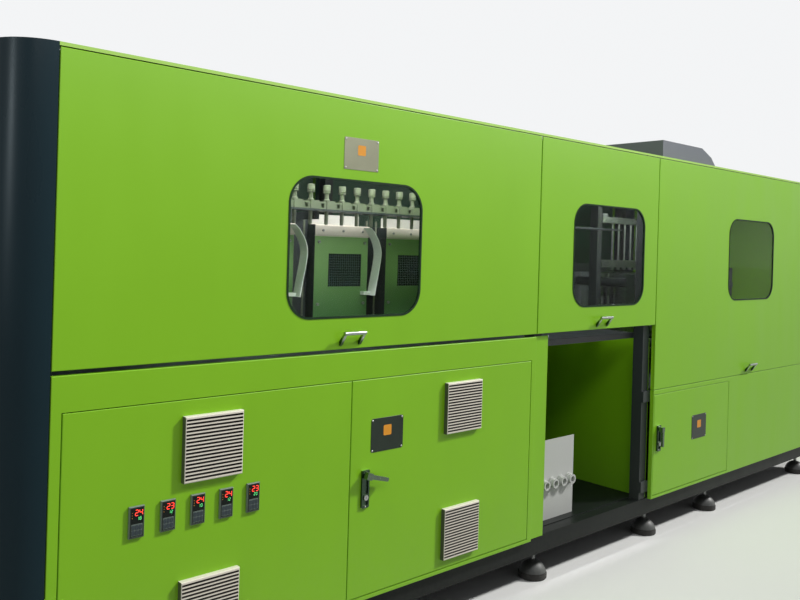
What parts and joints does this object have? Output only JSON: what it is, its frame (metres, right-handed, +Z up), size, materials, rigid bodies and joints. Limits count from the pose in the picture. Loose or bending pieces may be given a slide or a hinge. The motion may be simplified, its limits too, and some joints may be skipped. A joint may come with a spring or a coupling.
{
  "type": "blow moulding machine",
  "caption": "Linear stretch blow moulding machine: preform oven, transfer and clamp sections behind green lift-up doors with windows, on a channel base with machine feet.",
  "frame": {"origin": "middle of the machine's footprint, on the floor", "axes": "+Z up, the operator's side with the doors faces -Y, +X along the line from the oven section to the clamp section"},
  "size_m": [5.82, 1.838, 2.245],
  "materials": {
    "cover_green": "satin powder coat",
    "roof_green": "satin powder coat",
    "post_blue_grey": "gloss paint",
    "base_black": "satin paint",
    "frame_grey": "satin paint",
    "cowl_grey": "satin paint",
    "foot_rubber": "moulded",
    "foot_cap": "painted",
    "seal_rubber": "extruded",
    "clear_pane": "clear sheet",
    "bright_handle": "polished",
    "lever_silver": "satin casting",
    "lock_steel": "turned",
    "grille_beige": "fine grain",
    "controller_black": "moulded",
    "machined_steel": "machined",
    "spindle_steel": "turned",
    "oven_green": "satin paint",
    "lamp_white": "quartz and ceramic",
    "duct_silver": "satin",
    "mould_aluminium": "machined",
    "panel_grey": "satin paint",
    "tank_blue": "satin paint"
  },
  "bodies": {
    "machine": {"base_frame": "base_black", "foot_pads": "foot_rubber", "foot_studs": "foot_cap", "front_corner_posts": "post_blue_grey", "rear_corner_posts": "post_blue_grey", "end_panels": "cover_green", "rear_panels": "cover_green", "roof_panels": "roof_green", "roof_cowl": "cowl_grey", "inner_frame": "frame_grey", "bed_plates": "frame_grey", "lower_front_oven": "cover_green", "side_panels": "cover_green", "lower_front_clamp": "cover_green", "upper_hinge_pins": "machined_steel", "spindle_rail": "frame_grey", "oven_housings": "oven_green", "oven_lamps": "lamp_white", "air_ducts": "duct_silver", "clamp_frame": "frame_grey", "clamp_cylinders": "machined_steel", "stretch_portal": "frame_grey", "control_plate": "panel_grey", "service_panel": "panel_grey", "air_tank": "tank_blue", "air_valves": "machined_steel"},
    "oven_lid": {"upper_door_oven": "cover_green", "window_seal_oven": "seal_rubber", "window_pane_oven": "clear_pane", "pull_handle_oven": "bright_handle"},
    "transfer_lid": {"upper_door_transfer": "cover_green", "window_seal_transfer": "seal_rubber", "window_pane_transfer": "clear_pane", "pull_handle_transfer": "bright_handle"},
    "clamp_lid": {"upper_door_clamp": "cover_green", "window_seal_clamp": "seal_rubber", "window_pane_clamp": "clear_pane", "pull_handle_clamp": "bright_handle"},
    "left_door": {"lower_door_left": "cover_green", "grilles_left": "grille_beige", "temperature_controllers": "controller_black"},
    "right_door": {"lower_door_right": "cover_green", "grilles_right": "grille_beige", "lever_plate_oven": "lever_silver"},
    "clamp_door": {"lower_door_clamp": "cover_green", "lever_plate_clamp": "lever_silver"},
    "oven_lever": {"lever_oven": "lever_silver"},
    "oven_lock": {"lock_core_oven": "lock_steel"},
    "clamp_lever": {"lever_clamp": "lever_silver"},
    "clamp_lock": {"lock_core_clamp": "lock_steel"},
    "carriage": {"spindle_carriage": "machined_steel", "spindles": "spindle_steel"},
    "blower": {"blower_rotor": "machined_steel"},
    "front_clamp_half": {"front_platen": "machined_steel", "front_mould": "mould_aluminium"},
    "rear_clamp_half": {"rear_platen": "machined_steel", "rear_mould": "mould_aluminium"},
    "stretch_unit": {"stretch_beam": "machined_steel"},
    "nozzle_unit": {"nozzle_beam": "machined_steel"},
    "base_mould_unit": {"base_mould": "machined_steel"}
  },
  "joints": [
    {"name": "oven_lid_lift", "type": "hinge", "parent": "machine", "child": "oven_lid", "pos_m": [-1.672, -0.873, 2.108], "axis": [-1, 0, 0], "range_deg": [0, 85]},
    {"name": "transfer_lid_lift", "type": "hinge", "parent": "machine", "child": "transfer_lid", "pos_m": [-0.063, -0.873, 2.108], "axis": [-1, 0, 0], "range_deg": [0, 85]},
    {"name": "clamp_lid_lift", "type": "hinge", "parent": "machine", "child": "clamp_lid", "pos_m": [1.609, -0.873, 2.108], "axis": [-1, 0, 0], "range_deg": [0, 85]},
    {"name": "left_door_swing", "type": "hinge", "parent": "machine", "child": "left_door", "pos_m": [-2.718, -0.873, 0.66], "axis": [0, 0, -1], "range_deg": [0, 95]},
    {"name": "right_door_swing", "type": "hinge", "parent": "machine", "child": "right_door", "pos_m": [-0.625, -0.873, 0.66], "axis": [0, 0, 1], "range_deg": [0, 95]},
    {"name": "clamp_door_swing", "type": "hinge", "parent": "machine", "child": "clamp_door", "pos_m": [1.336, -0.873, 0.53], "axis": [0, 0, 1], "range_deg": [0, 95]},
    {"name": "oven_lever_turn", "type": "hinge", "parent": "right_door", "child": "oven_lever", "pos_m": [-1.599, -0.881, 0.714], "axis": [0, 1, 0], "range_deg": [-16, 74]},
    {"name": "oven_lock_turn", "type": "hinge", "parent": "right_door", "child": "oven_lock", "pos_m": [-1.599, -0.881, 0.63], "axis": [0, 1, 0], "range_deg": [0, 90]},
    {"name": "clamp_lever_turn", "type": "hinge", "parent": "clamp_door", "child": "clamp_lever", "pos_m": [0.517, -0.881, 0.618], "axis": [0, -1, 0], "range_deg": [0, 90]},
    {"name": "clamp_lock_turn", "type": "hinge", "parent": "clamp_door", "child": "clamp_lock", "pos_m": [0.517, -0.881, 0.534], "axis": [0, 1, 0], "range_deg": [0, 90]},
    {"name": "carriage_index", "type": "slide", "parent": "machine", "child": "carriage", "axis": [1, 0, 0], "range_m": [0, 0.6858]},
    {"name": "blower_spin", "type": "hinge", "parent": "machine", "child": "blower", "pos_m": [-1.56, -0.366, 1.3], "axis": [1, 0, 0], "continuous": true},
    {"name": "front_clamp_close", "type": "slide", "parent": "machine", "child": "front_clamp_half", "axis": [0, 1, 0], "range_m": [0, 0.0698]},
    {"name": "rear_clamp_close", "type": "slide", "parent": "machine", "child": "rear_clamp_half", "axis": [0, -1, 0], "range_m": [0, 0.0698]},
    {"name": "stretch_stroke", "type": "slide", "parent": "machine", "child": "stretch_unit", "axis": [0, 0, -1], "range_m": [0, 0.25]},
    {"name": "nozzle_stroke", "type": "slide", "parent": "machine", "child": "nozzle_unit", "axis": [0, 0, -1], "range_m": [0, 0.04]},
    {"name": "base_mould_lift", "type": "slide", "parent": "machine", "child": "base_mould_unit", "axis": [0, 0, 1], "range_m": [0, 0.04]}
  ],
  "couplings": [
    {"joint": "rear_clamp_close", "follows": "front_clamp_close", "ratio": 1}
  ]
}
